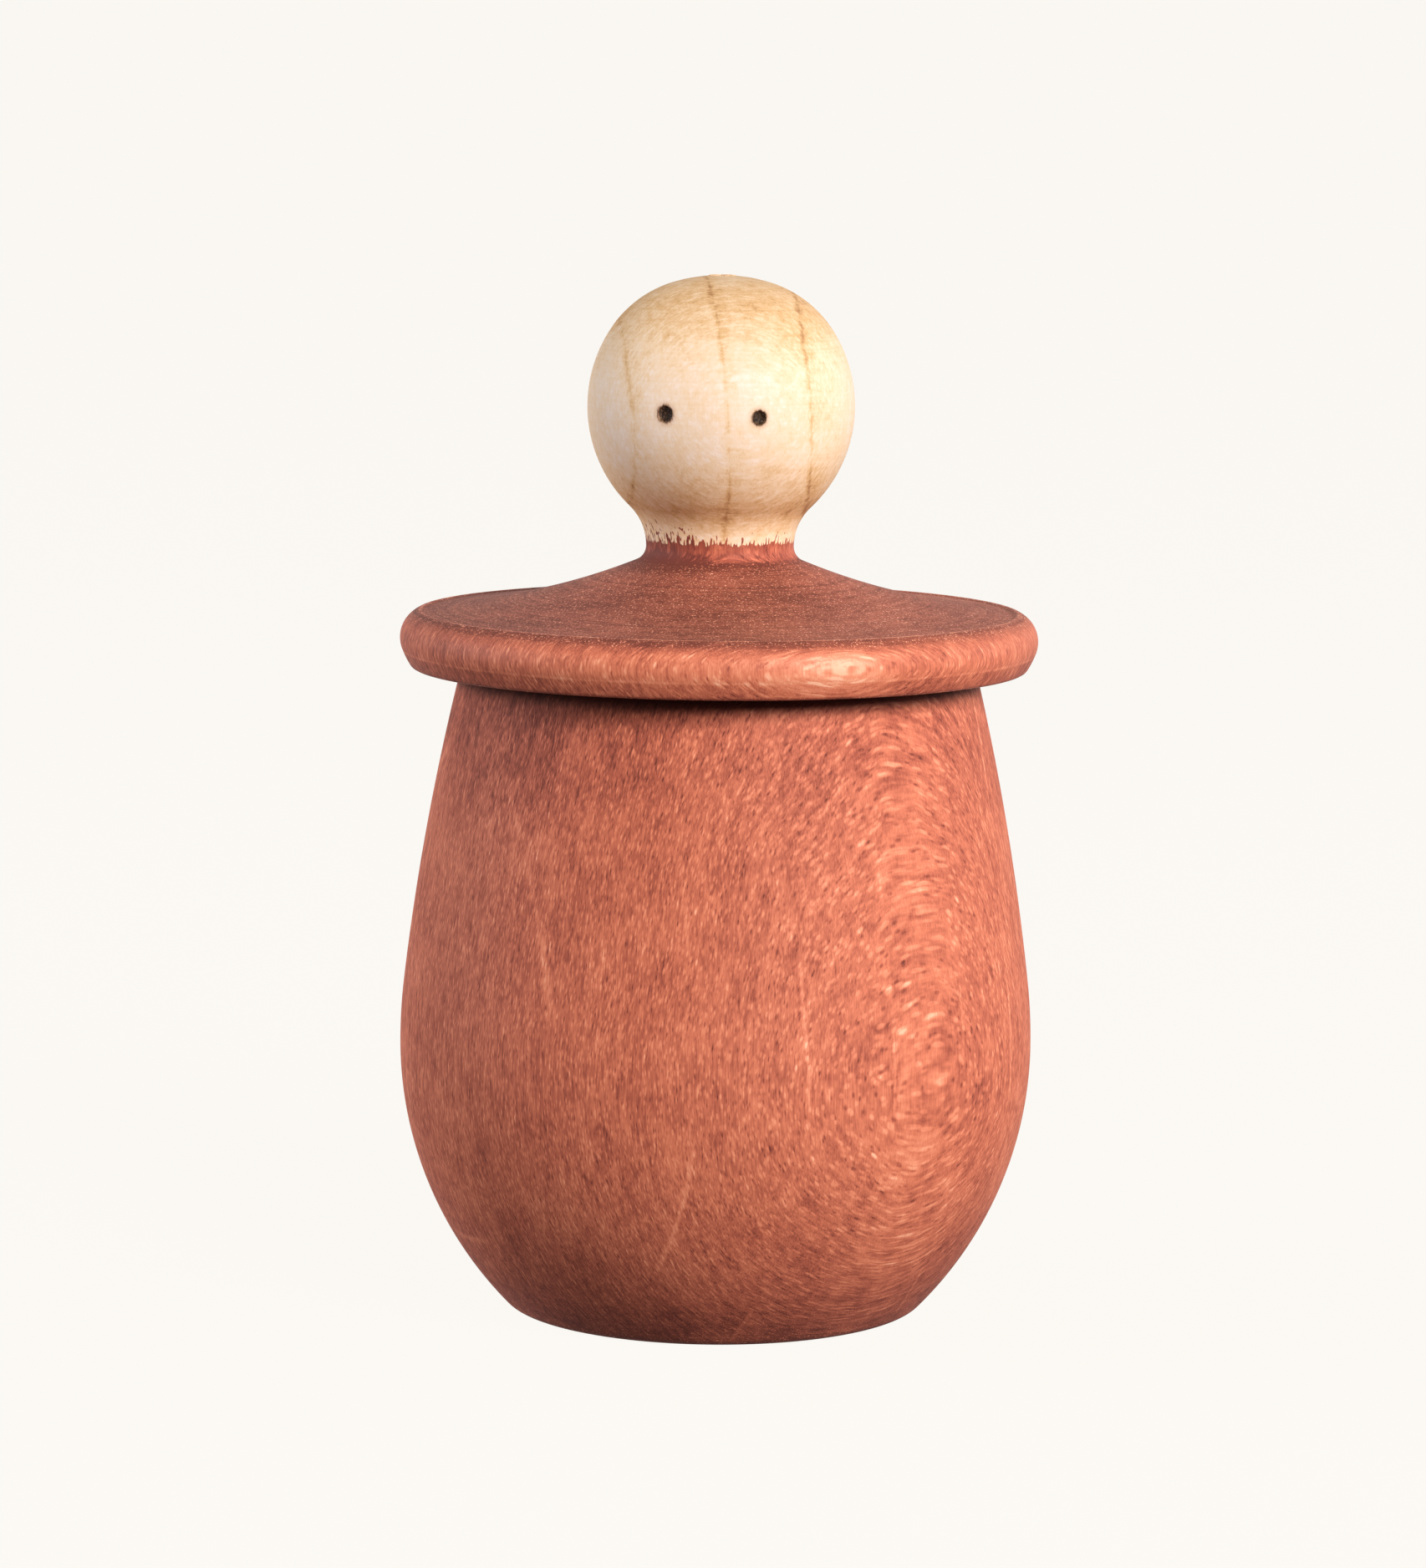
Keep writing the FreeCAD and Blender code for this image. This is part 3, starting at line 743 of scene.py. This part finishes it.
def bare_wood(finish, grain, years, late):
    """Lightness of the bare neck and head, and the fibres and clouds in it."""
    broad = grain.rays(0.34, 1.0, 6.0, 51.0, 0.18, 0.40)
    small = grain.rays(0.19, 0.6, 1.5, 53.0, 0.15, 0.36)
    ray = grain.fibres(0.20, 0.7, 2.0, 59.0)
    fibre = grain.fibres(0.11, 1.1, 0.16, 57.0)
    soft = grain.patches(5.0, 61.0)
    cloud = grain.patches(0.8, 67.0, 4.0, 1.1)
    fleck = grain.patches(0.24, 69.0, 2.0)
    marks = grain.tool_marks(0.25, 6.0)
    broken = finish.ramp(grain.patches(1.0, 71.0, 2.0, 1.6), 0.40, 0.56)
    tone = (
        0.79
        + (broad - 0.15) * 0.14
        + (small - 0.15) * 0.14
        + (ray - 0.5) * 0.32
        + (fibre - 0.5) * 0.26
        + (soft - 0.5) * 0.55
        + (cloud - 0.5) * 0.55
        + (fleck - 0.5) * 0.34
        + (marks - 0.5) * 0.22
        - years * (broken * 0.16 + 0.05)
        - late * 0.10
        # the right side of the head, where the main light falls, painted darker to hold down that
        # light
        - finish.ramp(grain.x, 3.0, 11.0) * 0.10
        - finish.ramp(grain.level, 0.15, 0.80) * 0.36
        # painted shade on the neck and under the chin, below the head
        - (1 - finish.ramp(grain.z, NECK_HEIGHT + 1.5, NECK_HEIGHT + 6.0)) * 0.13
    )
    return tone, fibre, cloud


def doll_lid():
    finish = Finish("doll_lid_wood")
    grain = Grain(finish, LID_HEART, LID_LEAN, 40.0)
    years, late = grain.year_lines(*LID_YEARS)
    left = finish.ramp(grain.x, 2.0, -NECK_RADIUS)
    value, relief, stained = stained_lid(finish, grain, years, left)
    tone, fibre, cloud = bare_wood(finish, grain, years, late)
    bare = finish.tint(tone, BARE)

    # stain creeping up the fibres of the neck
    wick = finish.ramp(
        finish.noise(finish.place(grain.x * 1.1, grain.y * 1.1, 3.0), 2.0, 0.6), 0.42, 0.68
    )
    fine = finish.noise(finish.place(grain.x * 4.2, grain.y * 4.2, 9.0), 1.5)
    spike = finish.ramp(fine, 0.44, 0.68)
    climb = wick * 0.25 + spike * (wick * 1.0 + left * 1.1 + 0.35)
    over = NECK_HEIGHT + STAIN_CLIMB + climb - grain.z + (cloud - 0.5) * 0.25
    wet = finish.ramp(over, -0.04, 0.08)
    fringe = wet * (1 - finish.ramp(over, 0.2, 1.5))
    colour = finish.blend(wet, bare, stained)
    colour = finish.blend(fringe * (fine * 0.7 + 0.15), colour, WICKED_STAIN)

    # eyes: burnt black inside, scorched at the lip, toasted a little way round
    char = 0.0
    scorch = 0.0
    halo = 0.0
    ragged = finish.noise(finish.place(grain.x * 6, grain.y * 6, grain.z * 2.6), 3.0, 0.6)
    for side, drop, width, height in EYES:
        middle = eye_place(side, drop)
        across = ((grain.x - middle.x) ** 2 + (grain.y - middle.y) ** 2) ** 0.5 * (2 / width)
        up = (grain.z - middle.z) * (2 / height)
        far = (across ** 2 + up ** 2) ** 0.5 + (ragged - 0.5) * 0.55
        char = (1 - finish.ramp(far, 0.90, 1.02)) + char
        scorch = (1 - finish.ramp(far, 0.98, 1.28)) + scorch
        halo = (1 - finish.ramp(far, 0.9, 1.9)) + halo
    glint = finish.noise(finish.place(grain.x * 7, grain.y * 7, grain.z * 7), 3.0, 0.75)
    colour = finish.blend(halo * 0.5, colour, TOASTED)
    colour = finish.blend(scorch * 0.85, colour, SCORCHED)
    colour = finish.blend(char, colour, finish.tint(glint, CHARRED))
    roughness = 0.58 - (value - 0.5) * 0.2
    return wood_shader(finish, colour, roughness, relief + fibre * 0.4)


def dress(piece, material):
    piece.data.materials.clear()
    piece.data.materials.append(material)


pot = turn_pot()
lid = turn_lid()
leave_stub(lid)
burn_eyes(lid)
for piece in (pot, lid):
    finish_shading(piece)
dress(pot, stained_pot())
dress(lid, doll_lid())

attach(pot, "pot")
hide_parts("pot")
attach(lid, "lid")
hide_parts("lid")

# ---- floor, light and camera ----
PAPER = (0.956, 0.930, 0.888)
PAPER_RADIUS = 4.0
AIM = Vector((0, 0, 48.9 * MM))
SENSOR = 36.0
LENS = 124.7335
CAMERA_TURN = 4.0
CAMERA_LIFT = 7.39
CAMERA_AWAY = 0.5047
CAMERA_ROLL = 0.52
CAMERA_ASIDE = -0.44


def around(turn, lift, distance):
    """Place at this distance from the aim: turned from the front, lifted from level."""
    turn = math.radians(turn)
    lift = math.radians(lift)
    out = distance * math.cos(lift)
    return AIM + Vector((out * math.sin(turn), -out * math.cos(turn), distance * math.sin(lift)))


def lay_paper():
    clear_selection()
    bpy.ops.mesh.primitive_circle_add(vertices=96, radius=PAPER_RADIUS, fill_type="NGON")
    paper = bpy.context.object
    paper.name = "paper"
    finish = Finish("pale_paper")
    shader = finish.node(
        "ShaderNodeBsdfPrincipled",
        None,
        {
            "Base Color": (0.02, 0.02, 0.02, 1),
            "Roughness": 1.0,
            "Specular IOR Level": 0.0,
            "Emission Color": (*PAPER, 1),
            "Emission Strength": 1.0,
        },
    )
    finish.node("ShaderNodeOutputMaterial", None, {"Surface": shader.outputs[0]})
    dress(paper, finish.material)
    paper.visible_diffuse = False


def hang_light(name, *, turn, lift, distance, width, height, strength, colour):
    """Soft panel facing the pot; strength is what a white card there would show."""
    clear_selection()
    bpy.ops.object.light_add(type="AREA")
    lamp = bpy.context.object
    lamp.name = name
    lamp.data.shape = "RECTANGLE"
    lamp.data.size = width
    lamp.data.size_y = height
    lamp.data.color = colour
    lamp.data.energy = strength * math.pi ** 2 * distance ** 2
    lamp.location = around(turn, lift, distance)
    lamp.rotation_euler = (lamp.location - AIM).to_track_quat("Z", "Y").to_euler()


def set_world():
    """Pale surroundings that show behind the paper but don't light the wood."""
    world = bpy.data.worlds.new("studio")
    bpy.context.scene.world = world
    world.use_nodes = True
    sky = world.node_tree.nodes["Background"]
    sky.inputs["Color"].default_value = (*PAPER, 1)
    sky.inputs["Strength"].default_value = 1.0
    world.cycles_visibility.diffuse = False


def set_camera():
    clear_selection()
    bpy.ops.object.camera_add()
    camera = bpy.context.object
    camera.name = "camera"
    camera.data.sensor_fit = "VERTICAL"
    camera.data.sensor_height = SENSOR
    camera.data.lens = LENS
    camera.data.clip_end = 100.0
    place = around(CAMERA_TURN, CAMERA_LIFT, CAMERA_AWAY)
    turned = (place - AIM).to_track_quat("Z", "Y").to_matrix()
    turned = turned @ Matrix.Rotation(math.radians(CAMERA_ROLL), 3, "Z")
    aside = turned @ Vector((CAMERA_ASIDE * MM, 0, 0))
    camera.location = place + aside
    camera.rotation_euler = turned.to_euler()
    bpy.context.scene.camera = camera


lay_paper()
set_world()
hang_light(
    "main_panel",
    turn=CAMERA_TURN + 36,
    lift=23,
    distance=0.9,
    width=0.50,
    height=0.30,
    strength=1.45,
    colour=(1.0, 0.975, 0.94),
)
hang_light(
    "side_panel",
    turn=CAMERA_TURN - 92,
    lift=16,
    distance=0.8,
    width=0.55,
    height=0.36,
    strength=0.78,
    colour=(0.98, 0.985, 1.0),
)
hang_light(
    "right_panel",
    turn=CAMERA_TURN + 108,
    lift=16,
    distance=0.8,
    width=0.4,
    height=0.36,
    strength=0.30,
    colour=(0.98, 0.98, 1.0),
)
set_camera()
scene = bpy.context.scene
scene.view_settings.view_transform = "Standard"
scene.view_settings.look = "None"
